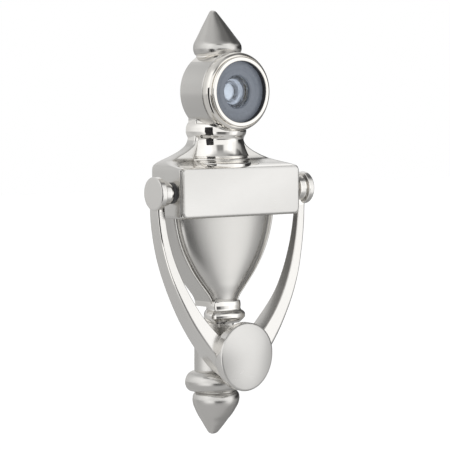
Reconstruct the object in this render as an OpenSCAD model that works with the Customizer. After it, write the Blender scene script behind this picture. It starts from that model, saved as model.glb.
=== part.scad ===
// Door knocker with a built-in wide-angle viewer: the unit on the outer face of a door.
// Origin: viewer axis where it meets the door. +Z up, +X right, the front faces -Y, the door face is Y = 0.

/* [Casting] */
// Height of the tip of the top finial above the viewer axis
finial_top_z = 31.3; // [30:0.1:34]
// Depth of the tip of the bottom finial below the viewer axis
finial_bottom_z = -134.2; // [-138:0.1:-132]
// Largest radius of the two finials
finial_r = 9.6; // [8.5:0.1:10.2]
// Outer radius of the round viewer housing
housing_r = 15.2; // [14.8:0.1:16]
// Distance from the door to the front end of the housing
housing_front = 14.3; // [13:0.1:16]
// Wall thickness of the hollow casting
wall_t = 3; // [2.6:0.1:3.4]
// Width of the box that carries the name plate
box_w = 56.6; // [54:0.2:58]
// Height of the box
box_h = 19.4; // [18:0.2:21]
// Depth of the box from the door to its front wall
box_d = 18.9; // [18:0.1:20]
// Height of the box centre and of the knocker pivots, below the viewer axis
pivot_z = -37.9; // [-39:0.1:-37]
// Distance from the door to the knocker pivots
pivot_y = 12.3; // [11:0.1:13]
// Thickness of the urn-shaped back plate
plate_t = 8.2; // [7.6:0.1:8.6]
// Half-width of the urn just under the box
urn_top_hw = 24.4; // [23:0.1:25]
// Half-width of the urn at its neck
urn_neck_hw = 7; // [6.4:0.1:7.6]
// Height of the neck of the urn
urn_neck_z = -80.6; // [-82:0.1:-79]

/* [Name plate] */
// Width of the name plate
plate_w = 55.4; // [52:0.2:55.6]
// Height of the name plate
plate_h = 18.4; // [16:0.2:18.6]
// How far the name plate stands proud of the box
plate_proud = 0.8; // [0.5:0.1:1.2]

/* [Knocker] */
// Radius of the outer arcs of the arms
arm_outer_r = 95.6; // [94:0.1:97]
// Radius of the inner arcs of the arms
arm_inner_r = 72.8; // [72:0.1:73.6]
// Half-width of the knocker across the outside of its arms, at the pivots
arm_outer_hw = 35.3; // [35:0.1:36]
// Half-width across the inside of its arms, at the pivots
arm_inner_hw = 32.5; // [32:0.1:33]
// Thickness of the arms, front to back
arm_t = 7; // [6:0.1:7.4]
// Forward lean of the arms, in degrees
arm_lean = 4.6; // [4:0.1:5.4]
// Radius of the pivot bosses at the tops of the arms
boss_r = 6.3; // [5.8:0.1:6.6]
// Radius of the knob's upper half, and half its width
knob_r = 12.4; // [11.5:0.1:13]
// Height of the centre of the knob
knob_z = -100.4; // [-101:0.1:-99.6]

/* [Pivots] */
// Radius of the pivot pins
pin_r = 1.6; // [1.5:0.05:1.8]
// Radial clearance of the pins in their bushes
pin_gap = 0.05; // [0.02:0.01:0.08]

/* [Viewer] */
// Radius of the spigot behind the viewer, for a 14.5 mm hole in the door
spigot_r = 7; // [6.8:0.05:7.1]
// How far the spigot reaches behind the door face
spigot_reach = 8; // [6:0.5:9]
// Inner radius of the bezel's bright front rim
rim_r = 11.7; // [11.2:0.1:12]
// Distance from the door to the front of the bezel
bezel_front = 19.1; // [18.8:0.1:19.6]
// Radius of the clear front lens
lens_r = 6.1; // [5.8:0.1:6.2]

/* [Hidden] */
$fn = 96;
ARC_STEP = 15;                  // degrees between the points of a rounded profile
URN_STEPS = 14;                 // points down one side of the urn
KNOB_STEP = 7.5;                // degrees between the points of the knob's outline
box_top = pivot_z + box_h / 2;
box_bottom = pivot_z - box_h / 2;
// finials
finial_slope = 0.62;            // radius lost per unit of height
finial_tip_r = 1.8;
finial_bulge_r = 3;
finial_neck_r = 8;
finial_axis_y = 1.6;            // distance from the door to the axis of each finial
top_bulge_z = 17.2;
bottom_bulge_z = -119.6;
// neck under the housing
neck_axis_y = 4.8;              // distance from the door to the axis of the turned neck
neck_ring_r = 9.4;
neck_waist_r = 8;
neck_flare_r = 10.6;
neck_plinth_r = 12.2;
neck_plate_t = 5.2;
neck_hw = 12;
neck_top_z = -8;
neck_bead_r = 2.4;              // rounding of the ring
neck_bead_z = -14.8;
neck_cove_r = 4;                // rounding of the waist
neck_cove_z = -20.4;
neck_flare_z = -24.8;
neck_plinth_z = -25.4;
neck_low_z = -27.6;
roof_top_z = -18.5;
roof_steps = 10;
cove_top_z = -25.6;
// hollow box
side_wall = wall_t + 0.3;
box_inner = box_d - wall_t - 0.6; // distance from the door to the inside of the box's front wall
peg_hole_end = box_d - 6;
// urn
urn_rim_w = 2.1;                // flat rim round the raised face
urn_hollow_z = -73.6;
urn_face_r = 40;                // curve of the raised face, from side to side
urn_face_d = 13.2;              // distance from the door to the top of the face's curve
urn_face_end = 16;              // beyond the front of the face
// collar, pedestal and foot
collar_r = 7.6;
collar_top_z = -81.2;
collar_h = 8;
collar_web_hw = 3;              // half-width of the web that carries the turned collar
collar_foot_r = 5;
collar_bead_r = 2.6;            // rounding of the lower ring
collar_ring_r = 1.7;            // rounding of the upper ring
collar_ring_in = 2.3;           // from the collar's radius to the centre of that rounding
collar_ring_up = 6.3;           // height of that centre above the bottom of the collar
pedestal_hw = 8.7;
foot_r = 13.1;
foot_top_z = -108.4;
foot_h = 8;
// viewer housing bores
nut_r = 11;
nut_t = 3;
washer_t = 1;
nut_pocket = 11;
barrel_r = 7.5;
barrel_gap = 0.1;
seal_in = 8.4;
seal_out = 9.6;
seal_t = 0.7;
// pivots
boss_t = 4.4;
boss_out = 36.3;
bush_r = 2.6;
bush_flange_r = 4;
bush_flange_t = 0.9;
hub_r = 3.1;                    // small hub between each boss and its bush
hub_gap = 0.15;
pin_in = 22.8;                  // inner end of each pin, from the middle
pin_bore_depth = 3;
clip_t = 0.6;
clip_r = 2.7;
clip_x = 24.2;
arc_drop = 2.4;                 // the arms run straight this far below the pivots
crotch = -53.6;                 // bottom of the opening between the arms, from the pivots
bail_low = -76.8;
// mounting posts, cast in the hollow back
post_r = 4;
post_hole_r = 1.65;             // tapped M4
post_hole_depth = 9;
post_z = [pivot_z, -62];
// name plate pegs
peg_r = 1.2;
peg_x = 18.6;
peg_len = 5.5;
plate_sunk = 0.6;
plate_corner = 2;
push_nut_r = 2.8;
push_nut_t = 0.7;
// knob and striker
stud_r = 2;
striker_r = 4.2;
striker_gap = 0.15;             // between the striker and the anvil at rest
knob_boss_r = knob_r - 2.4;     // boss in front of the arms, under the knob
striker_boss_r = striker_r + 0.8;
anvil_r = 4.6;
anvil_proud = 0.5;
anvil_shank_r = 2;
anvil_shank_len = 4;
knob_seat_y = 19.4;             // distance from the door to the flat seat under the knob
striker_seat_y = 12.2;          // distance from the door to the seat of the striker's head
stud_end = knob_seat_y + 3;
knob_side = 3;                  // straight side of the knob, below its dome
knob_dome = 2.2;
knob_low = 14.2;                // from the knob's centre to its lower end
// optics
dish_depth = 2.3;
dish_lip = 0.7;                 // thickness of the dish where it fits inside the rim
dish_ridge_r = 9.4;
dish_floor_r = 8.2;
dish_step = 0.35;               // from the ridge down to the floor
barrel_bore_r = 6.3;
flange_r = 10.6;
sleeve_r = 5.6;                 // bore tapped for the sleeve on the inner side of the door
sleeve_stop = -2.6;             // where that bore ends, behind the door face
shoulder_r = 12.4;              // centre of the rounding of the bezel's shoulder
shoulder_round = 2.6;
bezel_back_r = 14.9;
bezel_rim_r = 13.5;
bezel_rim_edge = 0.3;           // bevel across the front rim's outer edge
bezel_lip = 3;                  // depth of the rim's inner wall
barrel_front = housing_front + 0.9;
retainer_t = 1.6;
retainer_r = 4.6;
retainer_front_r = 5.4;
objective_back = barrel_front - 2;
middle_front = 9.4;
middle_back = 7.2;
eye_front = 2.2;
eye_back = 0.2;

// ---- helpers ----

// A point of an arc, for profiles built from radius and angle.
function arc(cx, cy, r, a0, a1, step = ARC_STEP) =
    let(n = ceil(abs(a1 - a0) / step))
    [for (i = [0:n]) let(a = a0 + (a1 - a0) * i / n) [cx + r * cos(a), cy + r * sin(a)]];

// Axis along Y: a solid of revolution whose profile is [radius, distance in front of the door].
module along_y(profile) {
    rotate([90, 0, 0])
        rotate_extrude()
            polygon(profile);
}

// A cylinder along Y between two distances in front of the door.
module rod_y(r, y0, y1, x = 0, z = 0) {
    translate([x, -y0, z])
        rotate([90, 0, 0])
            cylinder(r = r, h = y1 - y0);
}

// A cylinder along X between two places, at the height and depth of the pivots.
module rod_x(r, x0, x1) {
    translate([x0, -pivot_y, pivot_z])
        rotate([0, 90, 0])
            cylinder(r = r, h = x1 - x0);
}

// An outline in X and Z, made solid between two distances in front of the door.
module slab(y0, y1) {
    translate([0, -y0, 0])
        rotate([90, 0, 0])
            linear_extrude(height = y1 - y0)
                children();
}

module mirrored_x() {
    children();
    mirror([1, 0, 0])
        children();
}

module rounded_rect(w, h, r) {
    square([w - 2 * r, h], center = true);
    square([w, h - 2 * r], center = true);
    for (x = [-1, 1], y = [-1, 1])
        translate([x * (w / 2 - r), y * (h / 2 - r)])
            circle(r = r);
}

// Everything in front of the door face.
module front_half() {
    intersection() {
        children();
        translate([-60, -40, -150])
            cube([120, 40, 200]);
    }
}

// ---- casting ----

// Finial profile from its bulge to its tip; up is 1 or -1.
function finial_profile(bulge_z, tip_z, up) =
    let(lean = atan(finial_slope),
        tip_c = abs(tip_z - bulge_z) - finial_tip_r)
    [for (p = concat([[0, -finial_bulge_r]],
                     arc(finial_r - finial_bulge_r, 0, finial_bulge_r, -90, lean),
                     arc(0, tip_c, finial_tip_r, lean, 90)))
        [max(p[0], 0), bulge_z + up * p[1]]];

module finial(bulge_z, tip_z, up, seat_z) {
    front_half()
        translate([0, -finial_axis_y, 0])
            rotate_extrude()
                polygon(finial_profile(bulge_z, tip_z, up));
    front_half()
        translate([0, 0, min(seat_z, bulge_z)])
            cylinder(r = finial_neck_r, h = abs(bulge_z - seat_z));
}

module housing() {
    along_y([[0, 0], [housing_r, 0], [housing_r - 0.2, housing_front], [0, housing_front]]);
}

// Turned neck between the housing and the box: ring, waist, flare and plinth.
module neck() {
    profile = concat([[0, neck_top_z], [neck_waist_r, neck_top_z]],
                     arc(neck_ring_r - neck_bead_r, neck_bead_z, neck_bead_r, 70, -60),
                     arc(neck_waist_r + neck_cove_r, neck_cove_z, neck_cove_r, 150, 220),
                     [[neck_flare_r, neck_flare_z], [neck_plinth_r, neck_plinth_z],
                      [neck_plinth_r, neck_low_z], [0, neck_low_z]]);
    front_half()
        translate([0, -neck_axis_y, 0])
            rotate_extrude()
                polygon(profile);
    slab(0, neck_plate_t)
        translate([-neck_hw, roof_top_z - 1])
            square([2 * neck_hw, neck_top_z - roof_top_z + 1]);
}

// Half-width of the roof between the neck and the box; t runs from 0 at the top to 1 at the eaves.
function roof_hw(t) = neck_hw + (box_w / 2 - neck_hw) * pow(sin(90 * t), 2) * (0.75 + 0.25 * t);

// The roof: a concave gable seen from the front, cut to a cove seen from the side.
module roof() {
    eaves_z = box_top - 0.2;
    side = [for (i = [0:roof_steps]) let(t = i / roof_steps)
            [roof_hw(t), roof_top_z + (eaves_z - roof_top_z) * t]];
    other = [for (i = [roof_steps:-1:0]) [-side[i][0], side[i][1]]];
    cove_w = box_d - neck_plate_t;
    cove_h = cove_top_z - box_top;
    cove = [for (i = [0:6]) let(a = 15 * i)
            [neck_plate_t + cove_w * (1 - cos(a)), cove_top_z - cove_h * sin(a)]];
    intersection() {
        slab(0, box_d)
            polygon(concat(side, other));
        rotate([90, 0, 90])
            translate([0, 0, -box_w / 2])
                linear_extrude(height = box_w)
                    polygon([for (p = concat([[0, roof_top_z + 1], [neck_plate_t, roof_top_z + 1]], cove,
                                             [[box_d, box_top - 1], [0, box_top - 1]]))
                             [-p[0], p[1]]]);
    }
}

module box_shell() {
    slab(0, box_d)
        translate([0, pivot_z])
            rounded_rect(box_w, box_h, plate_corner);
}

// Half-width of the urn at a height, less an inset.
function urn_hw(z, inset) =
    urn_neck_hw - inset
    + (urn_top_hw - urn_neck_hw) * pow(max(sin(90 * (z - urn_neck_z) / (box_bottom - urn_neck_z)), 0), 1.1);

module urn_outline(inset, z_low, z_high) {
    side = [for (i = [0:URN_STEPS]) let(z = z_low + (z_high - z_low) * i / URN_STEPS) [urn_hw(z, inset), z]];
    polygon(concat(side, [for (i = [URN_STEPS:-1:0]) [-side[i][0], side[i][1]]]));
}

// Back plate of the urn, with a rounded front face set in from its rim.
module urn() {
    slab(0, plate_t)
        urn_outline(0, urn_neck_z, box_bottom + 0.5);
    intersection() {
        slab(plate_t - 1, urn_face_end)
            urn_outline(urn_rim_w, urn_neck_z, box_bottom + 0.5);
        translate([0, urn_face_r - urn_face_d, 0])
            rotate_extrude()
                polygon([[0, urn_neck_z - 1], [urn_face_r - 2.6, urn_neck_z - 1],
                         [urn_face_r - 1.6, urn_neck_z + 10], [urn_face_r, box_bottom - 8],
                         [urn_face_r, box_bottom + 1], [0, box_bottom + 1]]);
    }
}

// Turned collar between the urn and the pedestal, round all the way and joined to the back by a web.
module collar() {
    low = collar_top_z - collar_h;
    slab(0, plate_t)
        translate([-collar_web_hw, low])
            square([2 * collar_web_hw, collar_h]);
    slab(0, plate_t)
        translate([-urn_neck_hw, collar_top_z - 1])
            square([2 * urn_neck_hw, urn_neck_z - collar_top_z + 2]);
    translate([0, -plate_t, 0])
        rotate_extrude()
            polygon(concat([[0, low], [collar_foot_r, low]],
                           arc(collar_r - collar_bead_r, low + collar_bead_r, collar_bead_r, -60, 50),
                           arc(collar_r - collar_ring_in, low + collar_ring_up, collar_ring_r, -45, 90),
                           [[0, collar_top_z]]));
}

module pedestal() {
    slab(0, plate_t)
        translate([-pedestal_hw, foot_top_z - 1])
            square([2 * pedestal_hw, collar_top_z - collar_h + 2 - foot_top_z]);
}

module foot() {
    mid = foot_top_z - foot_h / 2;
    front_half()
        rotate_extrude()
            polygon(concat([[0, mid - foot_h / 2]], arc(foot_r - foot_h / 2, mid, foot_h / 2, -90, 90),
                           [[0, mid + foot_h / 2]]));
}

// Hollows in the back of the casting: the box, the urn and the nut pocket behind the viewer.
module hollows() {
    slab(-1, box_inner)
        translate([0, pivot_z])
            rounded_rect(box_w - 2 * side_wall, box_h - 2 * wall_t, 1);
    slab(-1, plate_t - 1.4)
        urn_outline(wall_t, urn_hollow_z, box_bottom - 1);
    rod_y(nut_r + 0.3, -1, nut_pocket);
    rod_y(barrel_r + barrel_gap, 0, housing_front + 1);
    difference() {
        rod_y(seal_out, housing_front - seal_t, housing_front + 1);
        rod_y(seal_in, housing_front - seal_t - 1, housing_front + 2);
    }
}

module mounting_posts() {
    for (z = post_z)
        rod_y(post_r, 0, plate_t + 2, 0, z);
    rod_y(post_r, 0, box_d - 1, 0, post_z[0]);
}

module body_casting() {
    color("silver")
        difference() {
            union() {
                difference() {
                    union() {
                        housing();
                        finial(top_bulge_z, finial_top_z, 1, 8);
                        neck();
                        roof();
                        box_shell();
                        urn();
                        collar();
                        pedestal();
                        foot();
                        finial(bottom_bulge_z, finial_bottom_z, -1, -115);
                    }
                    hollows();
                }
                mounting_posts();
            }
            for (z = post_z)
                rod_y(post_hole_r, -1, post_hole_depth, 0, z);
            slab(box_d - plate_sunk, box_d + 1)
                translate([0, pivot_z])
                    rounded_rect(plate_w, plate_h, plate_corner);
            for (x = [-peg_x, peg_x])
                rod_y(peg_r, peg_hole_end, box_d + 1, x, pivot_z);
            rod_x(bush_r, -box_w, -box_w / 4);
            rod_x(bush_r, box_w / 4, box_w);
            rod_y(anvil_shank_r, plate_t - anvil_shank_len, plate_t + 1, 0, knob_z);
        }
}

// Separate plate on the front of the box, with two pegs through its wall.
module name_plate() {
    color("gainsboro") {
        slab(box_d - plate_sunk, box_d + plate_proud)
            translate([0, pivot_z])
                rounded_rect(plate_w, plate_h, plate_corner);
        for (x = [-peg_x, peg_x])
            rod_y(peg_r, box_d - peg_len, box_d, x, pivot_z);
    }
}

// Push-on nuts that hold the pegs inside the box.
module plate_push_nuts() {
    color("dimgray")
        for (x = [-peg_x, peg_x])
            difference() {
                rod_y(push_nut_r, box_inner - push_nut_t, box_inner, x, pivot_z);
                rod_y(peg_r, box_inner - 2, box_inner + 1, x, pivot_z);
            }
}

// Hard pad pressed into the pedestal, which the striker lands on.
module strike_anvil() {
    color("lightsteelblue") {
        rod_y(anvil_r, plate_t, plate_t + anvil_proud, 0, knob_z);
        rod_y(anvil_shank_r, plate_t - anvil_shank_len, plate_t, 0, knob_z);
    }
}

// ---- viewer ----

// Threaded tube through the housing and into the door, with a shoulder that seats the bezel.
module viewer_barrel() {
    color("silver")
        along_y([[barrel_bore_r, barrel_front], [barrel_bore_r, sleeve_stop], [sleeve_r, sleeve_stop],
                 [sleeve_r, -spigot_reach], [spigot_r, -spigot_reach], [spigot_r, 0], [barrel_r, 0],
                 [barrel_r, housing_front], [flange_r, housing_front], [flange_r, barrel_front]]);
}

// Polished ring in front of the housing, with a bright flat rim round the dish.
module viewer_bezel() {
    shoulder = arc(shoulder_r, housing_front + 2.2, shoulder_round, -30, 60);
    color("whitesmoke")
        along_y(concat([[flange_r, housing_front], [bezel_back_r, housing_front]], shoulder,
                       [[bezel_rim_r, bezel_front - 0.2], [bezel_rim_r - bezel_rim_edge, bezel_front],
                        [rim_r, bezel_front], [rim_r, bezel_front - bezel_lip],
                        [flange_r, bezel_front - bezel_lip]]));
}

// Rubber seal in the joint between the barrel's flange and the casting.
module bezel_o_ring() {
    color("black")
        along_y([[seal_in, housing_front - seal_t], [seal_out, housing_front - seal_t],
                 [seal_out, housing_front], [seal_in, housing_front]]);
}

module barrel_washer() {
    color("darkgray")
        along_y([[barrel_r, nut_pocket - washer_t], [nut_r - 1, nut_pocket - washer_t],
                 [nut_r - 1, nut_pocket], [barrel_r, nut_pocket]]);
}

// Hexagonal nut that clamps the barrel in the housing.
module barrel_nut() {
    y1 = nut_pocket - washer_t;
    color("gray")
        difference() {
            translate([0, -y1 + nut_t, 0])
                rotate([90, 0, 0])
                    cylinder(r = nut_r, h = nut_t, $fn = 6);
            rod_y(barrel_r, y1 - nut_t - 1, y1 + 1);
        }
}

// Dark stepped cone round the front lens.
module lens_dish() {
    front = bezel_front - dish_depth;
    color("slategray")
        along_y([[lens_r, barrel_front], [flange_r, barrel_front], [flange_r, front - dish_lip],
                 [rim_r, front - dish_lip], [rim_r, front],
                 [dish_ridge_r, front], [dish_floor_r, front - dish_step], [lens_r + 0.5, front - dish_step],
                 [lens_r, front - 0.8]]);
}

// A lens about the viewer axis: each face has a sagitta inside a flat rim.
module lens(rim, back, front, sag_back, sag_front) {
    steps = 6;
    curve_r = barrel_bore_r - rim;
    function face(y, sag) = [for (i = [0:steps]) let(u = i / steps) [curve_r * u, y + sag * (1 - u * u)]];
    back_face = face(back, sag_back);
    front_face = face(front, sag_front);
    along_y(concat(back_face, [[barrel_bore_r, back], [barrel_bore_r, front]],
                   [for (i = [steps:-1:0]) front_face[i]]));
}

module objective_lens() {
    color("lightblue")
        lens(0.4, objective_back, barrel_front, 1.3, 0.4);
}

module spacer(back, front) {
    color("dimgray")
        along_y([[barrel_bore_r - 1, back], [barrel_bore_r, back], [barrel_bore_r, front],
                 [barrel_bore_r - 1, front]]);
}

module front_spacer() {
    spacer(middle_front, objective_back);
}

module middle_lens() {
    color("lightblue")
        lens(1.1, middle_back, middle_front, 0.8, -0.6);
}

module rear_spacer() {
    spacer(eye_front, middle_back);
}

module eye_lens() {
    color("lightblue")
        lens(1.8, eye_back, eye_front, -0.5, 0.5);
}

// Ring that screws in behind the lenses, with two slots for a spanner.
module lens_retainer() {
    back = eye_back - retainer_t;
    color("dimgray")
        difference() {
            along_y([[retainer_r, back], [barrel_bore_r, back], [barrel_bore_r, eye_back],
                     [retainer_front_r, eye_back], [retainer_r, back + 0.8]]);
            translate([-10, -back - 0.5, -0.5])
                cube([20, 2, 1]);
        }
}

// ---- pivots ----

// Flanged bush in the side of the box; side is 1 or -1.
module pivot_bush(side) {
    color("darkslategray")
        mirror([side < 0 ? 1 : 0, 0, 0])
            difference() {
                union() {
                    rod_x(bush_r, box_w / 2 - side_wall, box_w / 2);
                    rod_x(bush_flange_r, box_w / 2, box_w / 2 + bush_flange_t);
                }
                rod_x(pin_r + pin_gap, box_w / 4, box_w);
            }
}

module pivot_bush_left() {
    pivot_bush(-1);
}

module pivot_bush_right() {
    pivot_bush(1);
}

// Pin fixed in the knocker's boss, turning in the bush, with a groove for its clip.
module pivot_pin(side) {
    color("silver")
        mirror([side < 0 ? 1 : 0, 0, 0])
            difference() {
                rod_x(pin_r, pin_in, boss_out - boss_t + pin_bore_depth);
                difference() {
                    rod_x(pin_r + 1, clip_x, clip_x + clip_t);
                    rod_x(pin_r - 0.5, clip_x - 1, clip_x + 2);
                }
            }
}

module pivot_pin_left() {
    pivot_pin(-1);
}

module pivot_pin_right() {
    pivot_pin(1);
}

// Open retaining clips in the grooves of the pins.
module pin_clips() {
    color("dimgray")
        mirrored_x()
            difference() {
                rod_x(clip_r, clip_x, clip_x + clip_t);
                rod_x(pin_r - 0.5, clip_x - 1, clip_x + 2);
                translate([clip_x - 1, -pivot_y - 0.8, pivot_z - 5])
                    cube([3, 1.6, 5]);
            }
}

// ---- knocker ----

// Pointed arch in X and Z, hung from the pivots: two arcs whose centres lie across the middle.
module arch(hw, r) {
    intersection() {
        translate([hw - r, 0])
            circle(r = r, $fn = 180);
        translate([r - hw, 0])
            circle(r = r, $fn = 180);
        translate([-50, -100])
            square([100, 100]);
    }
}

module bail_outline() {
    translate([0, -arc_drop])
        intersection() {
            difference() {
                arch(arm_outer_hw, arm_outer_r);
                intersection() {
                    arch(arm_inner_hw, arm_inner_r);
                    translate([-50, crotch + arc_drop])
                        square([100, 60]);
                }
            }
            translate([-50, bail_low + arc_drop])
                square([100, 80]);
        }
    for (x = [-1, 1])
        translate([x * (arm_outer_hw + arm_inner_hw) / 2, 1 - arc_drop])
            square([arm_outer_hw - arm_inner_hw, 2 * arc_drop], center = true);
}

module knocker_bail() {
    color("silver")
        difference() {
            union() {
                translate([0, -pivot_y, pivot_z])
                    rotate([90 - arm_lean, 0, 0])
                        translate([0, 0, -arm_t / 2 - 1])
                            linear_extrude(height = arm_t)
                                bail_outline();
                mirrored_x() {
                    rod_x(boss_r, boss_out - boss_t, boss_out);
                    rod_x(hub_r, box_w / 2 + bush_flange_t + hub_gap, boss_out - boss_t);
                }
                rod_y(knob_boss_r, knob_seat_y - 4, knob_seat_y + 1, 0, knob_z);
                rod_y(striker_boss_r, striker_seat_y, knob_seat_y - 1, 0, knob_z);
            }
            slab(knob_seat_y, knob_seat_y + 9)
                translate([-knob_r - 0.1, bail_low + pivot_z - 1])
                    square([2 * knob_r + 0.2, knob_z + knob_r - bail_low - pivot_z + 1.1]);
            rod_x(pin_r, -boss_out + boss_t - pin_bore_depth, boss_out - boss_t + pin_bore_depth);
            rod_y(stud_r, 0, knob_seat_y + 1, 0, knob_z);
        }
}

// Low domed knob on the front of the knocker: egg-shaped from the front, longer below than above.
module knob() {
    top_y = knob_seat_y + knob_side + knob_dome;
    dome_r = (knob_r * knob_r + knob_dome * knob_dome) / (2 * knob_dome);
    egg = [for (a = [0:KNOB_STEP:359]) [knob_r * cos(a), (a < 180 ? knob_r : knob_low) * sin(a)]];
    color("gainsboro")
        translate([0, 0, knob_z])
            difference() {
                intersection() {
                    slab(knob_seat_y, top_y + 1)
                        polygon(egg);
                    translate([0, dome_r - top_y, 0])
                        sphere(r = dome_r, $fn = 180);
                }
                rod_y(stud_r, knob_seat_y - 1, stud_end);
            }
}

// Screw that holds the knob from behind; its head is the striker.
module striker_screw() {
    face = plate_t + anvil_proud + striker_gap;
    color("silver")
        translate([0, 0, knob_z])
            along_y([[0, face], [striker_r - 1.6, face], [striker_r - 0.5, face + 0.7],
                     [striker_r, face + 1.6], [striker_r, striker_seat_y], [stud_r, striker_seat_y],
                     [stud_r, stud_end], [0, stud_end]]);
}

body_casting();
name_plate();
plate_push_nuts();
strike_anvil();
viewer_barrel();
viewer_bezel();
bezel_o_ring();
barrel_washer();
barrel_nut();
lens_dish();
objective_lens();
front_spacer();
middle_lens();
rear_spacer();
eye_lens();
lens_retainer();
pivot_bush_left();
pivot_bush_right();
knocker_bail();
pivot_pin_left();
pivot_pin_right();
pin_clips();
knob();
striker_screw();
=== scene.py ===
"""Door knocker with a built-in viewer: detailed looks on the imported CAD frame.

Lengths below are in millimetres in the CAD frame (front is -Y, +Z up), turned into metres by MM.
"""

import bpy
import math
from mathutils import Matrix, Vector


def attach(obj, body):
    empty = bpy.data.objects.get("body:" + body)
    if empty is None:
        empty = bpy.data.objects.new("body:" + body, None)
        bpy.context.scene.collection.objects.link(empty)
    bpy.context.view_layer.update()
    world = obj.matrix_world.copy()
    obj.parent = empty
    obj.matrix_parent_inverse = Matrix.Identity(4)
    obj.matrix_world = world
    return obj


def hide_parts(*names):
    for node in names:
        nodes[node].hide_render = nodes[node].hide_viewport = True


MM = 0.001
ROUND = 96  # steps round a turned shape
BACK = 2.0  # how far a shape runs behind the door plane before it is trimmed flat
PIVOT_Y = 12.3  # from the door to the axis of the knocker's pivots
PIVOT_Z = -37.9  # height of the pivots, the name plate's middle and the upper post
LOWER_POST_Z = -62
KNOB_Z = -100.4  # height of the knob, its stud and the striker
KNOB_RISE = 1.5  # height of the knob's dome above its rim
COLLAR_AXIS_Y = 9.5  # from the door to the axis of the collar
COLLAR_WEB_HALF = 3.0  # half-width of the web behind the collar
ARM_OUTER_R = 95.6
ARM_OUTER_X = -60.3  # centre of the right arm's outer arc, from the middle
ARM_INNER_R = 72.8
ARM_INNER_X = -40.3  # centre of its inner arc
ARM_CENTRE_Z = -40.3  # height of both centres

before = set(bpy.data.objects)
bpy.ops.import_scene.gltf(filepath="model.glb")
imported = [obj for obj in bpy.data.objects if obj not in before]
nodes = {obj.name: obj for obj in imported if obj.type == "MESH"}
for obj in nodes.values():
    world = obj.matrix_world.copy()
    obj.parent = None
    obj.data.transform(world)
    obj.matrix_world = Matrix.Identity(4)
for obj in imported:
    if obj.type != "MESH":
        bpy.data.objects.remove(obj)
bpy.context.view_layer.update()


# ---------------------------------------------------------------- mesh tools


def interpolate(table, t):
    """Smooth value from (position, value) rows, in rising or falling order of position."""
    rows = sorted(table)
    if t <= rows[0][0]:
        return rows[0][1]
    if t >= rows[-1][0]:
        return rows[-1][1]
    for i in range(len(rows) - 1):
        (x0, y0), (x1, y1) = rows[i], rows[i + 1]
        if x0 <= t <= x1:
            break

    def slope(j):
        if j == 0 or j == len(rows) - 1:
            k = min(j, len(rows) - 2)
            return (rows[k + 1][1] - rows[k][1]) / (rows[k + 1][0] - rows[k][0])
        left = (rows[j][1] - rows[j - 1][1]) / (rows[j][0] - rows[j - 1][0])
        right = (rows[j + 1][1] - rows[j][1]) / (rows[j + 1][0] - rows[j][0])
        return 0.0 if left * right <= 0 else 2 * left * right / (left + right)

    h = x1 - x0
    s = (t - x0) / h
    return (
        y0 * (1 + 2 * s) * (1 - s) ** 2
        + y1 * s * s * (3 - 2 * s)
        + h * slope(i) * s * (1 - s) ** 2
        - h * slope(i + 1) * s * s * (1 - s)
    )


def span(start, end, steps):
    return [start + (end - start) * i / steps for i in range(steps + 1)]


def circle(steps):
    """Angles in equal steps round a circle."""
    return [2 * math.pi * i / steps for i in range(steps)]


def arc(cx, cy, r, a0, a1, steps=8):
    """Points of an arc, by centre, radius and first and last angle in degrees."""
    return [
        (cx + r * math.cos(math.radians(a)), cy + r * math.sin(math.radians(a)))
        for a in span(a0, a1, steps)
    ]


def mesh_object(name, points, faces):
    mesh = bpy.data.meshes.new(name)
    mesh.from_pydata([(x * MM, y * MM, z * MM) for x, y, z in points], [], faces)
    mesh.validate()
    made = bpy.data.objects.new(name, mesh)
    bpy.context.scene.collection.objects.link(made)
    return made


def loft(name, rings, closed=False):
    """Solid through rings of equal length, with flat ends or, where closed, joined up like a hoop."""
    count = len(rings[0])
    points = [p for ring in rings for p in ring]
    faces = []
    for level in range(len(rings) if closed else len(rings) - 1):
        a, b = level * count, (level + 1) % len(rings) * count
        for i in range(count):
            j = (i + 1) % count
            faces.append((a + i, a + j, b + j, b + i))
    if not closed:
        last = (len(rings) - 1) * count
        faces.append(tuple(reversed(range(count))))
        faces.append(tuple(range(last, last + count)))
    made = mesh_object(name, points, faces)
    face_outwards(made)
    return made


def face_outwards(made):
    """Turns the faces outwards where the solid came out inside out."""
    volume = 0.0
    vertices = made.data.vertices
    for polygon in made.data.polygons:
        corners = [vertices[i].co for i in polygon.vertices]
        for k in range(1, len(corners) - 1):
            volume += corners[0].dot(corners[k].cross(corners[k + 1]))
    if volume < 0:
        made.data.flip_normals()


def turned_up(name, profile, centre_y=lambda r: 0.0):
    """Turned about a vertical axis; the profile is (radius, height) with both ends off the axis."""
    rings = [[(r * math.cos(a), centre_y(r) + r * math.sin(a), z) for a in circle(ROUND)] for r, z in profile]
    return loft(name, rings)


def turned_out(name, profile, closed=False, x=0.0, z=0.0, steps=ROUND):
    """Turned about an axis along Y; the profile is (radius, distance in front of the door)."""
    rings = []
    for r, depth in profile:
        rings.append([(x + r * math.cos(a), -depth, z + r * math.sin(a)) for a in circle(steps)])
    return loft(name, rings, closed)


def turned_across(name, profile, side, steps=48):
    """Turned about the pivots' axis, on one side; the profile is (radius, distance from the middle)."""
    rings = []
    for r, x in profile:
        ring = [(-PIVOT_Y + r * math.cos(a), PIVOT_Z + r * math.sin(a)) for a in circle(steps)]
        rings.append([(side * x, y, z) for y, z in ring])
    return loft(name, rings)


def combine(target, others, operation="UNION"):
    for other in others:
        change = target.modifiers.new("combine", "BOOLEAN")
        change.object = other
        change.operation = operation
        change.solver = "MANIFOLD"
        bpy.context.view_layer.objects.active = target
        bpy.ops.object.modifier_apply(modifier=change.name)
        bpy.data.objects.remove(other)
    return target


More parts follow.
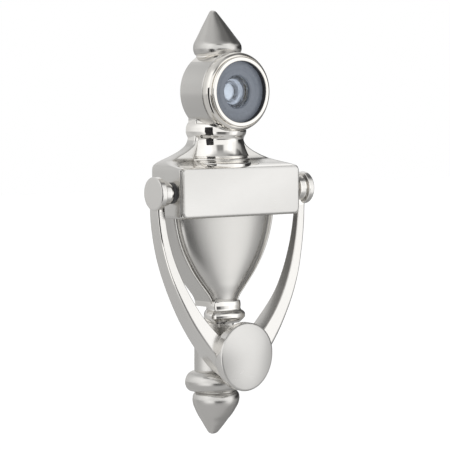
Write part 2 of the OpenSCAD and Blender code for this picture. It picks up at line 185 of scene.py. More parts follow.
def smooth(made, angle=32):
    """Smooth shading, with edges sharper than the angle kept crisp and flats kept flat."""
    mesh = made.data
    mesh.shade_smooth()
    mesh.set_sharp_from_angle(angle=math.radians(angle))
    weight = made.modifiers.new("weights", "WEIGHTED_NORMAL")
    weight.keep_sharp = True
    weight.weight = 80
    bpy.context.view_layer.objects.active = made
    bpy.ops.object.modifier_apply(modifier=weight.name)
    return made


def block(name, x0, x1, y0, y1, z0, z1):
    return loft(name, [[(x0, y0, z), (x1, y0, z), (x1, y1, z), (x0, y1, z)] for z in (z0, z1)])


# ---------------------------------------------------------------- sections of the casting


def d_ring(half, depth, z, steps=64):
    """Section like a D: half an ellipse in front of the door plane, carried straight back."""
    ring = []
    for i in range(steps + 1):
        a = math.pi * i / steps
        c, s = math.cos(a), math.sin(a)
        ring.append((half * c, -depth * s, z))
    ring.append((-half, BACK, z))
    ring.append((half, BACK, z))
    return ring


def slab_ring(half, depth, z, corner, steps=6):
    """Section like a slab with rounded front corners, carried straight back."""
    back = BACK + 0.6
    ring = [(half, back, z)]
    ring += [(x, -y, z) for x, y in arc(half - corner, depth - corner, corner, 0, 90, steps)]
    ring += [(x, -y, z) for x, y in arc(corner - half, depth - corner, corner, 90, 180, steps)]
    ring.append((-half, back, z))
    return ring


def finial(name, table, centre, tip_z, tip_r):
    """Finial from rows of (height, radius) and a round tip.

    Each ring's centre stands in front of the door by its radius times centre.
    """
    up = 1 if tip_z > table[-1][0] else -1
    profile = [(interpolate(table, z), z) for z in span(table[0][0], table[-1][0], 48)]
    start = math.degrees(math.acos(table[-1][1] / tip_r))
    profile += [(r, tip_z + up * (h - tip_r)) for r, h in arc(0, 0, tip_r, start, 89, 8)[1:]]
    return turned_up(name, profile, lambda r: -centre * r)


def make_box():
    """Box that carries the name plate, under a roof that sweeps up to the neck."""
    roof_half = [(-8.0, 11.2), (-14.0, 11.3), (-18.0, 11.7), (-20.1, 12.5), (-22.35, 15.3), (-24.5, 20.0),
                 (-26.15, 24.4), (-27.2, 26.7), (-28.1, 27.85), (-29.1, 28.25), (-30.2, 28.3)]
    roof_depth = [(-8.0, 5.2), (-24.6, 5.2), (-26.0, 5.7), (-26.8, 7.7), (-27.4, 10.4), (-27.9, 13.6),
                  (-28.3, 16.2), (-28.7, 17.9), (-29.2, 18.7), (-30.2, 18.9)]
    roof_corner = [(-8, 0.9), (-22, 1.2), (-26, 2.0), (-28.3, 1.6), (-30.2, 0.9)]
    half, depth, corner, edge = 28.3, 18.9, 0.9, 1.2
    rings = []
    for z in span(-8, -24, 24) + span(-24.2, -30.2, 40):
        rounding = interpolate(roof_corner, z)
        rings.append(slab_ring(interpolate(roof_half, z), interpolate(roof_depth, z), z, rounding))
    rings += [slab_ring(half, depth, z, corner) for z in span(-33, -44.5, 3)]
    for a in span(0, 90, 8):
        s = math.radians(a)
        inset = edge * (1 - math.cos(s))
        rings.append(slab_ring(half - inset, depth - inset, -46.4 - edge * math.sin(s), corner))
    return loft("casting_box", rings)


def make_casting():
    """The cast body: its solids joined, trimmed flat at the door and hollowed out."""
    parts = []
    top_rows = [(8.0, 7.4), (11.6, 7.6), (12.1, 8.0), (12.6, 7.7), (13.1, 8.15), (13.6, 7.95), (14.0, 8.6),
                (15.1, 9.3), (16.5, 9.6), (17.7, 9.5), (18.8, 9.05), (20.0, 8.3), (21.7, 7.2), (23.65, 5.98),
                (25.6, 4.75), (27.5, 3.5), (29.3, 2.3), (30.54, 1.5)]
    top = finial("casting_top", top_rows, centre=0.32, tip_z=31.3, tip_r=1.75)
    low_rows = [(-113.0, 8.2), (-116.6, 8.4), (-117.3, 9.1), (-118.3, 9.6), (-119.6, 9.75), (-121.2, 9.5),
                (-124.0, 8.26), (-126.2, 7.0), (-128.2, 5.58), (-130.2, 4.25), (-132.9, 2.35)]
    parts.append(finial("casting_low", low_rows, centre=0.16, tip_z=-134.2, tip_r=2.75))

    housing = [(0.2, 0.0), (15.2, 0.0), (15.2, 13.6)] + arc(14.75, 13.85, 0.45, 0, 90, 5) + [(0.2, 14.3)]
    housing = turned_out("casting_housing", [(r, d if d > 0 else -BACK - 0.3) for r, d in housing])
    parts.append(housing)

    parts += make_neck()

    parts.append(make_box())
    parts.append(make_urn())
    parts += make_collar()

    parts.append(make_pedestal())
    foot = [(0.3, -108.1), (8.6, -108.15)]
    foot += arc(9.0, -112.4, 4.15, 84, -84, 22) + [(8.6, -116.6), (0.3, -116.7)]
    parts.append(turned_up("casting_foot", foot))

    casting = combine(top, parts)
    behind_door = block("trim", -60, 60, 0, 30, -160, 60)
    casting = combine(casting, [behind_door], "DIFFERENCE")
    return hollow_out(casting)


def half_turned(name, rows, z0, z1, steps):
    """Half-round moulding on the door plane; rows are (height, half-width, depth)."""
    halves, depths = [(z, h) for z, h, d in rows], [(z, d) for z, h, d in rows]
    rings = [d_ring(interpolate(halves, z), interpolate(depths, z), z) for z in span(z0, z1, steps)]
    return loft(name, rings)


def make_neck():
    """Turned neck under the housing: ring, waist, flare and two fine beads."""
    rows = [(-8.0, 11.3, 13.0), (-11.6, 11.4, 13.2), (-12.5, 12.0, 13.8), (-13.7, 12.5, 14.1),
            (-15.2, 12.6, 14.3), (-16.5, 12.3, 14.1), (-17.6, 11.7, 13.5), (-18.3, 11.5, 13.3),
            (-19.6, 11.6, 13.5), (-21.6, 12.1, 14.2), (-23.6, 12.8, 15.3), (-24.7, 13.2, 16.1)]
    fine = [(-24.7, 13.2, 16.1), (-24.9, 12.8, 15.8), (-25.2, 12.8, 15.8), (-25.5, 13.3, 16.5),
            (-25.9, 13.5, 16.9), (-26.3, 13.4, 16.8), (-26.6, 13.0, 16.4), (-26.8, 13.0, 16.4),
            (-27.1, 13.5, 17.1), (-27.6, 13.7, 17.5), (-29.5, 13.8, 17.6)]
    return [half_turned("neck", rows, -8.0, -24.6, 60), half_turned("neck_beads", fine, -24.5, -29.5, 40)]


def urn_half(z):
    """Half-width of the urn at a height."""
    rows = [(-83.5, 6.6), (-82.0, 6.7), (-80.6, 7.0), (-79.2, 7.7), (-77.4, 9.1), (-73.7, 12.2),
            (-68.5, 16.2), (-62.3, 19.8), (-58.0, 21.6), (-54.5, 22.7), (-50.6, 23.6), (-46.0, 24.3)]
    return interpolate(rows, z)


def make_urn():
    """Urn with sides that flare to the door, and a crowned face inside a rim and a fine groove."""
    rings = []
    for z in span(-83, -46.4, 70):
        half = urn_half(z)
        rim = interpolate([(-83, 1.1), (-76, 1.3), (-62, 1.6), (-46, 1.9)], z)
        crown = interpolate([(-83, 9.9), (-80.6, 10.0), (-74, 11.3), (-64, 12.6), (-46, 13.3)], z)
        face_half = half - rim
        side = [(half + 1.6, -BACK - 0.9), (half + 1.6, 0.6), (half + 1.3, 1.4)]
        side += [(half + 0.3, 5.4), (half, 7.0)]
        side += arc(half - 0.7, 7.5, 0.7, 0, 110, 7)
        side += [(face_half + 0.3, 7.45), (face_half + 0.05, 7.2), (face_half - 0.25, 7.5)]
        for u in span(0.0, 1.0, 16)[1:]:
            a = math.radians(90 * u)
            x = (face_half - 0.25) * math.cos(a)
            side.append((x if u < 1 else 0.0, 7.5 + (crown - 7.5) * math.sin(a) ** 1.05))
        ring = [(x, -d, z) for x, d in side]
        ring += [(-x, -d, z) for x, d in reversed(side[:-1])]
        rings.append(ring)
    return loft("casting_urn", rings)


def bowed_ring(half, centre, bow, z):
    """Section of two half ellipses: deep behind, reaching the door, and flatter in front."""
    ring = []
    for a in circle(ROUND):
        reach = bow if math.sin(a) > 0 else centre + 0.4
        ring.append((half * math.cos(a), -centre - reach * math.sin(a), z))
    return ring


def make_collar():
    """Collar under the urn, joined to the back by a web: a plain band over a round bead."""
    rows = [(-80.7, 6.0, 2.0), (-81.2, 6.3, 2.3), (-82.6, 6.5, 2.4), (-83.9, 6.4, 2.4),
            (-84.3, 6.6, 2.6), (-85.0, 7.6, 3.6), (-86.0, 8.3, 4.2), (-87.0, 8.3, 4.2),
            (-88.0, 7.6, 3.6), (-89.4, 6.0, 2.0)]
    halves, bows = [(z, h) for z, h, d in rows], [(z, d) for z, h, d in rows]
    rings = []
    for z in span(-80.7, -89.4, 50):
        rings.append(bowed_ring(interpolate(halves, z), COLLAR_AXIS_Y, interpolate(bows, z), z))
    web = block("collar_web", -COLLAR_WEB_HALF, COLLAR_WEB_HALF, -9.0, BACK + 1.3, -91, -79.5)
    return [loft("collar", rings), web]


def make_pedestal():
    """Half-round pedestal."""
    rows = [(-88.0, 8.6, 8.2), (-98.0, 8.7, 8.1), (-109.6, 8.7, 8.2)]
    return half_turned("pedestal", rows, -88.0, -109.6, 10)


def hollow_out(casting):
    """Cuts the cavities, bores and seats, and puts in the two mounting posts."""
    cuts = [
        block("cut_box", -25, 25, -15.3, 1, -44.6, -31.2),
        turned_out("cut_pocket", [(11.3, -1.0), (11.3, 11.0)]),
        turned_out("cut_bore", [(7.6, 5.0), (7.6, 16.0)]),
    ]
    rings = []
    for z in span(-73.6, -48.6, 20):
        half = urn_half(z) - 3.2
        rings.append([(half, 1, z), (half, -6.6, z), (-half, -6.6, z), (-half, 1, z)])
    cuts.append(loft("cut_urn", rings))
    casting = combine(casting, cuts, "DIFFERENCE")
    posts = [
        turned_out("post_upper", [(4.4, 0.003), (4.1, 0.3), (4.0, 16.5)], z=PIVOT_Z, steps=48),
        turned_out("post_lower", [(4.4, 0.003), (4.1, 0.3), (4.0, 9.0)], z=LOWER_POST_Z, steps=48),
    ]
    casting = combine(casting, posts)
    screw_hole = [(1.65, -1), (1.65, 8.6), (0.1, 9.5)]
    cuts = [turned_out("screw_hole", screw_hole, z=z, steps=32) for z in (PIVOT_Z, LOWER_POST_Z)]
    cuts += [turned_across("bush_hole", [(2.62, 24), (2.62, 30)], side) for side in (-1, 1)]
    cuts.append(rounded_slab("plate_seat", 27.7, 9.2, 2.0, [(18.3, 0.0), (20.0, 0.0)]))
    return combine(casting, cuts, "DIFFERENCE")


def rounded_slab(name, half_x, half_z, corner, levels):
    """Flat plate level with the pivots; levels are (distance in front of the door, inset)."""
    rings = []
    for depth, inset in levels:
        ring = []
        for sx, sz, a0 in ((1, 1, 0), (-1, 1, 90), (-1, -1, 180), (1, -1, 270)):
            r = max(corner - inset, 0.15)
            cx, cz = sx * (half_x - inset - r), sz * (half_z - inset - r)
            ring += [(cx + px, -depth, PIVOT_Z + cz + pz) for px, pz in arc(0, 0, r, a0, a0 + 90, 7)]
        rings.append(ring)
    return loft(name, rings)


# ---------------------------------------------------------------- the knocker


def arm_outer(z):
    """Distance from the middle to the right arm's outer edge, at a height."""
    return ARM_OUTER_X + math.sqrt(ARM_OUTER_R**2 - (z - ARM_CENTRE_Z) ** 2)


def arm_inner(z):
    """Distance from the middle to its inner edge; the two arms meet where it is below 0."""
    return ARM_INNER_X + math.sqrt(max(ARM_INNER_R**2 - (z - ARM_CENTRE_Z) ** 2, 0))


def make_arm(side):
    """One arm of the bail, from its boss down to the pointed end."""
    front_rows = [(-38, 14.0), (-45, 14.1), (-50, 14.4), (-60, 15.2), (-80, 17.7), (-87, 18.35), (-92, 18.9),
                  (-100, 19.4), (-108, 19.4), (-114, 19.0)]
    back_rows = [(-38, 8.6), (-45, 8.2), (-61, 8.6), (-80, 9.8), (-97, 10.2), (-105, 10.4), (-107, 11.0),
                 (-108.5, 12.2), (-110, 13.2), (-112, 13.6), (-114, 13.6)]
    rings = []
    for z in span(-38.6, -88, 50) + span(-88.8, -114.1, 40):
        outer = arm_outer(z)
        inner = max(arm_inner(z) - interpolate([(-38, 0.6), (-70, 0.4), (-86, 0.0)], z), -0.4)
        fall_front = interpolate([(-80, 0.25), (-98, 0.0)], z)
        fall_back = interpolate([(-45, 2.6), (-75, 1.8), (-88, 0.0)], z)
        front, back = interpolate(front_rows, z), interpolate(back_rows, z)
        width = outer - inner
        bevel = min(interpolate([(-70, 0.95), (-90, 2.2), (-108, 3.4)], z), width * 0.34)
        edge = min(0.5, width * 0.2)
        inner_edge = edge if inner > 0 else 0.02
        profile = arc(outer - edge, back + edge, edge, 270, 360, 3)
        profile += arc(outer - bevel, front - bevel, bevel, 0, 90, 6)
        profile += arc(inner + inner_edge, front - fall_front - inner_edge, inner_edge, 90, 180, 4)
        profile += arc(inner + inner_edge, back + fall_back + inner_edge, inner_edge, 180, 270, 4)
        rings.append([(side * x, -d, z) for x, d in profile])
    return loft("arm", rings)


def make_boss(side):
    """Filleted disc at the top of an arm, with its hub."""
    profile = [(3.7, 29.35), (3.9, 29.5), (3.9, 30.3), (4.5, 30.5), (4.8, 30.8), (4.85, 31.2), (4.85, 33.0),
               (5.0, 33.35), (5.6, 33.6)]
    profile += arc(5.8, 34.2, 0.5, -70, 0, 4) + arc(5.8, 35.8, 0.5, 0, 90, 6) + [(0.2, 36.3)]
    return turned_across("boss", [(0.2, 29.35)] + profile, side, 72)


def make_bail():
    """The two arms joined, with their bosses, the striker's seat and the bores."""
    left, right = make_arm(-1), make_arm(1)
    parts = [right, make_boss(-1), make_boss(1)]
    parts.append(turned_out("striker_pad", [(5.4, 12.2), (5.6, 12.5), (5.2, 18.0)], z=KNOB_Z, steps=64))
    bail = combine(left, parts)
    cuts = [turned_out("stud_hole", [(2.0, 11.0), (2.0, 22.0)], z=KNOB_Z, steps=48)]
    cuts += [turned_across("pin_hole", [(1.62, 28), (1.62, 34.9)], side) for side in (-1, 1)]
    return combine(bail, cuts, "DIFFERENCE")


def make_knob():
    """Egg-shaped domed knob."""
    half, above, under = 12.4, 12.4, 14.0

    def ring(scale, depth):
        made = []
        for a in circle(ROUND):
            reach = above if math.sin(a) > 0 else under
            made.append((half * scale * math.cos(a), -depth, KNOB_Z + reach * scale * math.sin(a)))
        return made

    levels = [(0.965, 18.2), (1.0, 19.4), (1.0, 22.2), (0.994, 22.45), (0.98, 22.62)]
    levels += [(u, 22.7 + KNOB_RISE * (1 - u * u)) for u in span(0.965, 0.01, 30)]
    knob = loft("knob_face", [ring(s, d) for s, d in levels])
    hole = turned_out("knob_hole", [(2.0, 17.0), (2.0, 22.4)], z=KNOB_Z, steps=48)
    return combine(knob, [hole], "DIFFERENCE")


def make_plate():
    """Name plate with a softened edge, and its two pegs."""
    levels = [(18.35, 0.05), (19.25, 0.0), (19.5, 0.12), (19.68, 0.42), (19.7, 0.8)]
    plate = rounded_slab("plate_face", 27.65, 9.15, 2.0, levels)
    pegs = [turned_out("peg", [(1.2, 13.4), (1.2, 18.6)], x=x, z=PIVOT_Z, steps=32) for x in (-18.6, 18.6)]
    return combine(plate, pegs)


def make_bezel():
    """Ring round the viewer, with a rounded shoulder behind a narrow front rim."""
    profile = [(10.65, 14.3), (14.5, 14.3)] + arc(14.55, 14.75, 0.42, -80, 0, 5)
    profile += [(14.98, 15.6)] + arc(12.75, 16.1, 2.25, 0, 66, 12)
    profile += [(13.6, 17.9), (13.45, 17.9)] + arc(12.8, 18.5, 0.6, 0, 90, 8)
    profile += arc(11.95, 18.85, 0.25, 90, 180, 4) + [(11.7, 16.15), (10.65, 16.1)]
    return turned_out("bezel_ring", profile, closed=True, steps=128)


def make_funnel():
    """Bright stepped funnel behind the front lens."""
    profile = [(6.25, 13.15), (5.9, 13.15)] + arc(4.1, 13.3, 1.8, -5, -80, 8) + [(4.15, 11.3)]
    profile += arc(3.9, 11.5, 0.3, 0, 180, 6) + [(3.6, 11.0), (3.5, 9.45), (6.25, 9.45)]
    return turned_out("funnel", profile, closed=True, steps=96)


# ---------------------------------------------------------------- materials


def new_material(name):
    made = bpy.data.materials.new(name)
    made.use_nodes = True
    return made, made.node_tree.nodes, made.node_tree.links, made.node_tree.nodes["Principled BSDF"]


def noise_at(add, link, vector, scale, detail=2.0):
    """Noise read at a vector."""
    noise = add.new("ShaderNodeTexNoise")
    noise.inputs["Scale"].default_value = scale
    noise.inputs["Detail"].default_value = detail
    link.new(vector, noise.inputs["Vector"])
    return noise.outputs["Fac"]


def rescaled(add, link, value, low, high, start=0.0, end=1.0):
    """A value from start to end, spread over low to high."""
    change = add.new("ShaderNodeMapRange")
    change.inputs["From Min"].default_value = start
    change.inputs["From Max"].default_value = end
    change.inputs["To Min"].default_value = low
    change.inputs["To Max"].default_value = high
    link.new(value, change.inputs["Value"])
    return change.outputs["Result"]


def arithmetic(add, link, operation, first, second):
    """Math node on a socket and either a second socket or a number."""
    made = add.new("ShaderNodeMath")
    made.operation = operation
    link.new(first, made.inputs[0])
    if isinstance(second, float):
        made.inputs[1].default_value = second
    else:
        link.new(second, made.inputs[1])
    return made.outputs["Value"]


def mottled(add, link, factor, first, second):
    """Colour between two, by a factor."""
    made = add.new("ShaderNodeMixRGB")
    made.inputs["Color1"].default_value = (*first, 1)
    made.inputs["Color2"].default_value = (*second, 1)
    link.new(factor, made.inputs["Fac"])
    return made.outputs["Color"]


def bumped(add, link, shader, height, strength, distance):
    """Fine relief; the distance is in metres."""
    bump = add.new("ShaderNodeBump")
    bump.inputs["Strength"].default_value = strength
    bump.inputs["Distance"].default_value = distance
    link.new(height, bump.inputs["Height"])
    link.new(bump.outputs["Normal"], shader.inputs["Normal"])


def metal(name, colour, tint, rough, rough_spread, grain, grain_depth, wear=0.0):
    """Metal with a fine directional grain, faint mottling and, where asked, edges worn brighter."""
    made, add, link, shader = new_material(name)
    shader.inputs["Metallic"].default_value = 1.0
    place = add.new("ShaderNodeTexCoord").outputs["Object"]
    stretch = add.new("ShaderNodeMapping")
    stretch.inputs["Scale"].default_value = grain
    link.new(place, stretch.inputs["Vector"])
    fine = noise_at(add, link, stretch.outputs["Vector"], 1.0, 3.0)
    broad = noise_at(add, link, place, 55.0, 4.0)
    surface = mottled(add, link, broad, colour, tint)
    average = arithmetic(add, link, "MULTIPLY", arithmetic(add, link, "ADD", fine, broad), 0.5)
    roughness = rescaled(add, link, average, rough - rough_spread, rough + rough_spread, 0.3, 0.7)
    if wear:
        pointed = add.new("ShaderNodeNewGeometry").outputs["Pointiness"]
        worn = add.new("ShaderNodeMixRGB")
        worn.inputs["Color2"].default_value = (0.93, 0.92, 0.9, 1)
        edge = rescaled(add, link, pointed, 0.0, 1.0, 0.52, 0.62)
        link.new(arithmetic(add, link, "MULTIPLY", edge, wear), worn.inputs["Fac"])
        link.new(surface, worn.inputs["Color1"])
        surface = worn.outputs["Color"]
    link.new(surface, shader.inputs["Base Color"])
    link.new(roughness, shader.inputs["Roughness"])
    bumped(add, link, shader, fine, grain_depth, 0.00001)
    return made


def plastic(name, colour, rough, speckle, bump_depth, coat=0.0):
    """Rubber, nylon and painted parts: a mottled colour under a fine moulded texture."""
    made, add, link, shader = new_material(name)
    noise = noise_at(add, link, add.new("ShaderNodeTexCoord").outputs["Object"], 900.0, 3.0)
    lighter = [min(c * speckle, 1) for c in colour]
    link.new(mottled(add, link, noise, colour, lighter), shader.inputs["Base Color"])
    link.new(rescaled(add, link, noise, rough - 0.06, rough + 0.06), shader.inputs["Roughness"])
    shader.inputs["Coat Weight"].default_value = coat
    bumped(add, link, shader, noise, bump_depth, 0.00005)
    return made


def glass(name, light, deep, clear, hazy):
    """Glass, faintly uneven in tint and in haze."""
    made, add, link, shader = new_material(name)
    shader.inputs["Transmission Weight"].default_value = 1.0
    shader.inputs["IOR"].default_value = 1.5
    noise = noise_at(add, link, add.new("ShaderNodeTexCoord").outputs["Object"], 400.0)
    link.new(rescaled(add, link, noise, clear, hazy), shader.inputs["Roughness"])
    link.new(mottled(add, link, noise, light, deep), shader.inputs["Base Color"])
    return made


brushed, even = (2600, 2600, 500), (900, 900, 900)
satin = metal("satin_nickel", (0.67, 0.658, 0.635), (0.63, 0.618, 0.595), 0.24, 0.03, brushed, 0.12, 0.3)
polished = metal("polished_nickel", (0.9, 0.88, 0.85), (0.86, 0.84, 0.8), 0.055, 0.02, even, 0.05)
bezel_nickel = metal("bezel_nickel", (0.87, 0.845, 0.8), (0.83, 0.805, 0.76), 0.05, 0.02, even, 0.05)
bail_satin = metal("bail_satin", (0.8, 0.785, 0.76), (0.76, 0.745, 0.72), 0.22, 0.03, brushed, 0.12, 0.3)
across = (400, 3000, 3000)
face_satin = metal("plate_satin", (0.7, 0.69, 0.67), (0.67, 0.66, 0.64), 0.3, 0.04, across, 0.1, 0.3)
cavity = metal("cast_nickel", (0.5, 0.485, 0.46), (0.36, 0.35, 0.33), 0.5, 0.12, (1500, 1500, 1500), 1.0)
steel = metal("bare_steel", (0.56, 0.56, 0.57), (0.48, 0.48, 0.49), 0.32, 0.08, (3000, 3000, 800), 0.4)
brass = metal("plated_brass", (0.62, 0.55, 0.4), (0.55, 0.48, 0.34), 0.26, 0.06, (2500, 2500, 900), 0.3)
dish_paint = plastic("dish_paint", (0.16, 0.18, 0.215), 0.38, 1.35, 0.2, 0.3)
# Black for the spacer, the retainer and the card; also painted shade on the bezel's inner wall.
black = plastic("black_plastic", (0.018, 0.018, 0.02), 0.4, 1.8, 0.3)
rubber = plastic("black_rubber", (0.02, 0.02, 0.02), 0.7, 1.6, 0.8)
nylon = plastic("dark_nylon", (0.05, 0.05, 0.052), 0.42, 1.6, 0.4)
lens_glass = glass("lens_glass", (0.93, 0.96, 1.0), (0.86, 0.9, 0.95), 0.0, 0.03)
frosted_glass = glass("inner_glass", (0.84, 0.88, 0.92), (0.76, 0.8, 0.85), 0.1, 0.22)
# The lens behind the front one is made nearly opaque, so that it shows as a bright disc.
frosted = frosted_glass.node_tree.nodes["Principled BSDF"].inputs
frosted["Transmission Weight"].default_value = 0.1
frosted["Metallic"].default_value = 0.75
mirror_cup = metal("lens_cup", (0.6, 0.63, 0.68), (0.5, 0.53, 0.58), 0.22, 0.06, even, 0.1)


def dress(target, *materials):
    target.data.materials.clear()
    for material in materials:
        target.data.materials.append(material)


# ---------------------------------------------------------------- pieces


SATIN, POLISHED, ROUGH_CAST = 0, 1, 2  # the casting's material slots


def zone_of(centre):
    """Material slot of a face of the casting, by where the face's centre is."""
    x, y, z = (c / MM for c in centre)
    inside_box = -46 < z < -30 and abs(x) < 25.3 and y > -15.6
    inside_urn = -75 < z < -47 and y > -6.9 and abs(x) < urn_half(z) - 2.6
    inside_pocket = math.hypot(x, z) < 11.5 and y > -14.2
    if inside_box or inside_urn or inside_pocket or y > -0.02:
        return ROUGH_CAST
    top_beads = 11.4 < z < 14.3 and math.hypot(x, z) > 15.1
    in_neck = -29.6 < z < -11.0 and math.hypot(x, z) > 15.25 and abs(x) < 13.8
    neck = in_neck and (z > -18.4 or y < -5.4)
    collar = -89.7 < z < -80.8
    return POLISHED if top_beads or neck or collar else SATIN


casting = smooth(make_casting())
casting.name = casting.data.name = "casting"
dress(casting, satin, polished, cavity)
for polygon in casting.data.polygons:
    polygon.material_index = zone_of(polygon.center)
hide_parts("body_casting")
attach(casting, "root")

bail = smooth(make_bail())
bail.name = bail.data.name = "bail"
dress(bail, bail_satin, polished)
for polygon in bail.data.polygons:
    x, y, z = (c / MM for c in polygon.center)
    outwards = polygon.normal.x * math.copysign(1, x)
    on_bevel = -72 < z < -43.5 and outwards > 0.25 and polygon.normal.y < -0.3
    near_pivot = math.hypot(y + PIVOT_Y, z - PIVOT_Z) < 6.3
    on_hub = near_pivot and abs(x) < 31.3
    on_step = near_pivot and 33.0 < abs(x) < 34.5
    if on_bevel or on_hub or on_step:
        polygon.material_index = 1
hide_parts("knocker_bail")
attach(bail, "knocker")

knob = smooth(make_knob())
knob.name = knob.data.name = "knob_dome"
dress(knob, face_satin, bail_satin)
for polygon in knob.data.polygons:
    if abs(polygon.normal.y) < 0.4:
        polygon.material_index = 1
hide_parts("knob")
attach(knob, "knocker")

plate = smooth(make_plate())
plate.name = plate.data.name = "plate"
dress(plate, face_satin)
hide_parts("name_plate")
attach(plate, "root")

bezel = smooth(make_bezel())
bezel.name = bezel.data.name = "bezel"
dress(bezel, bezel_nickel, black)
# Painted shade: the inner wall of the nickel rim, inside 11.72 mm, gets the black material so that it reads
# as the dark recess round the dish.
for polygon in bezel.data.polygons:
    x, y, z = (c / MM for c in polygon.center)
    if math.hypot(x, z) < 11.72 and y > -18.7:
        polygon.material_index = 1
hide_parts("viewer_bezel")
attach(bezel, "root")

funnel = smooth(make_funnel())
funnel.name = funnel.data.name = "lens_funnel"
dress(funnel, mirror_cup)
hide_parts("front_spacer")
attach(funnel, "root")

for name, material in {
    "plate_push_nuts": steel,
    "strike_anvil": steel,
    "viewer_barrel": brass,
    "bezel_o_ring": rubber,
    "barrel_washer": steel,
    "barrel_nut": brass,
    "lens_dish": dish_paint,
    "objective_lens": lens_glass,
    "middle_lens": frosted_glass,
    "rear_spacer": black,
    "eye_lens": lens_glass,
    "lens_retainer": black,
    "pivot_bush_left": nylon,
    "pivot_bush_right": nylon,
    "pivot_pin_left": steel,
    "pivot_pin_right": steel,
    "pin_clips": steel,
    "striker_screw": steel,
}.items():
    for slot in nodes[name].material_slots:
        slot.material = material

# ---------------------------------------------------------------- floor, light and camera

FLOOR_HALF = 4000
FLOOR_Z = -320
corners = [(x * FLOOR_HALF, y * FLOOR_HALF, FLOOR_Z) for x, y in ((-1, -1), (1, -1), (1, 1), (-1, 1))]
floor = mesh_object("floor", corners, [(0, 1, 2, 3)])
floor_paint, _, _, shader = new_material("floor_paint")
shader.inputs["Base Color"].default_value = (0.9, 0.9, 0.9, 1)
shader.inputs["Roughness"].default_value = 0.9
shader.inputs["Emission Color"].default_value = (1, 1, 1, 1)
shader.inputs["Emission Strength"].default_value = 0.45
dress(floor, floor_paint)
floor.visible_glossy = False

# A black card close to the left of the object, out of the camera's sight. Its reflection is the dark
# stripe on the polished neck.
FLAG_LOW, FLAG_HIGH = -62, 8
flag_ends = ((-60, -22), (-44, -44))
flag_points = [(x, y, FLAG_LOW) for x, y in flag_ends] + [(x, y, FLAG_HIGH) for x, y in reversed(flag_ends)]
flag = mesh_object("flag", flag_points, [(0, 1, 2, 3)])
dress(flag, black)
flag.visible_camera = False
flag.visible_diffuse = False
flag.visible_shadow = False

world = bpy.data.worlds.new("studio")
bpy.context.scene.world = world
world.use_nodes = True
add, link = world.node_tree.nodes, world.node_tree.links
add.clear()
out = add.new("ShaderNodeOutputWorld")
direction = add.new("ShaderNodeTexCoord")
split = add.new("ShaderNodeSeparateXYZ")
link.new(direction.outputs["Generated"], split.inputs["Vector"])
flip = add.new("ShaderNodeMath")
flip.operation = "MULTIPLY"
flip.inputs[1].default_value = -1.0
link.new(split.outputs["Y"], flip.inputs[0])
turn = add.new("ShaderNodeMath")
turn.operation = "ARCTAN2"
link.new(split.outputs["X"], turn.inputs[0])
link.new(flip.outputs["Value"], turn.inputs[1])
share = add.new("ShaderNodeMapRange")
share.inputs["From Min"].default_value = -math.pi
share.inputs["From Max"].default_value = math.pi
link.new(turn.outputs["Value"], share.inputs["Value"])


def ramp_by_angle(rows):
    """Brightness round the horizon: rows of (degrees from the front, + to the right; grey)."""
    ramp = add.new("ShaderNodeValToRGB")
    ramp.color_ramp.interpolation = "EASE"
    stops = ramp.color_ramp.elements
    while len(stops) > 1:
        stops.remove(stops[-1])
    for i, (angle, grey) in enumerate(rows):
        stop = stops[0] if i == 0 else stops.new((angle + 180) / 360)
        stop.position = (angle + 180) / 360
        stop.color = (grey, grey, grey, 1)
    link.new(share.outputs["Result"], ramp.inputs["Fac"])
    return ramp.outputs["Color"]


# Grey round the horizon in six layers, named by the directions that they light from.
level = ramp_by_angle([(-180, 0.42), (-160, 0.5), (-140, 0.57), (-100, 0.75), (-78, 0.9), (-40, 0.75),
                       (0, 0.8), (24, 0.97), (50, 0.97), (62, 0.5), (74, 0.02), (138, 0.04), (152, 0.3)])
above = ramp_by_angle([(-180, 0.5), (-140, 0.6), (-90, 0.85), (-70, 1.0), (-46, 0.8), (0, 0.8), (24, 0.95),
                       (50, 0.8), (66, 0.45), (80, 0.3), (96, 0.08), (122, 0.08), (138, 0.8), (165, 0.6)])
high = ramp_by_angle([(-180, 0.5), (-140, 0.6), (-90, 0.9), (-68, 1.0), (-46, 0.75), (-32, 0.2), (-14, 0.2),
                      (0, 0.8), (24, 1.0), (50, 0.8), (66, 0.2), (80, 0.06), (122, 0.08), (138, 0.8),
                      (165, 0.6)])
top = ramp_by_angle([(-180, 0.5), (-90, 0.5), (-36, 0.4), (0, 0.35), (60, 0.12), (90, 0.15), (130, 0.6),
                     (160, 0.6)])
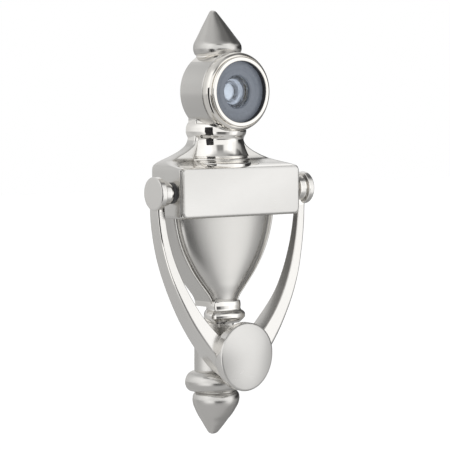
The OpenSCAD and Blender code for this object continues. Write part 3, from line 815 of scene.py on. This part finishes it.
below = ramp_by_angle([(-180, 0.38), (-143, 0.46), (-117, 0.4), (-95, 0.5), (-76, 0.85), (-60, 1.0),
                       (-42, 0.9), (-30, 0.08), (-6, 0.1), (10, 0.38), (24, 0.75), (36, 0.95), (48, 0.9),
                       (62, 0.42), (80, 0.3), (106, 0.12), (150, 0.38)])
bottom = ramp_by_angle([(-180, 0.44), (-40, 0.46), (40, 0.44), (70, 0.3), (120, 0.25), (160, 0.44)])


def blend_by_height(low, high, first, second):
    """From one brightness to the other as the direction rises from low to high."""
    rise = add.new("ShaderNodeMapRange")
    rise.interpolation_type = "SMOOTHSTEP"
    rise.inputs["From Min"].default_value = low
    rise.inputs["From Max"].default_value = high
    link.new(split.outputs["Z"], rise.inputs["Value"])
    made = add.new("ShaderNodeMixRGB")
    link.new(rise.outputs["Result"], made.inputs["Fac"])
    link.new(first, made.inputs["Color1"])
    link.new(second, made.inputs["Color2"])
    return made.outputs["Color"]


# Each layer takes over from the one under it between two heights of the direction.
blend = bottom
layers = ((-0.62, -0.36, below), (-0.13, -0.05, level), (0.14, 0.34, above), (0.46, 0.56, high),
          (0.7, 0.86, top))
for start, end, layer in layers:
    blend = blend_by_height(start, end, blend, layer)
surround = add.new("ShaderNodeBackground")
surround.inputs["Strength"].default_value = 1.3
link.new(blend, surround.inputs["Color"])
backdrop = add.new("ShaderNodeBackground")
backdrop.inputs["Color"].default_value = (1, 1, 1, 1)
seen = add.new("ShaderNodeLightPath")
choose = add.new("ShaderNodeMixShader")
link.new(seen.outputs["Is Camera Ray"], choose.inputs["Fac"])
link.new(surround.outputs["Background"], choose.inputs[1])
link.new(backdrop.outputs["Background"], choose.inputs[2])
link.new(choose.outputs["Shader"], out.inputs["Surface"])

CAMERA_PLACE = (-0.43546, -0.59684, 0.00491)  # metres
CAMERA_AIM = (0.59307, 0.80149, -0.07672)  # direction of view
CAMERA_LENS = 152

camera = bpy.data.objects.new("camera", bpy.data.cameras.new("camera"))
bpy.context.scene.collection.objects.link(camera)
camera.location = CAMERA_PLACE
camera.rotation_euler = Vector(CAMERA_AIM).to_track_quat("-Z", "Y").to_euler()
camera.data.lens = CAMERA_LENS
camera.data.sensor_width = 36
camera.data.clip_start = 0.01
bpy.context.scene.camera = camera
bpy.context.scene.view_settings.view_transform = "Standard"
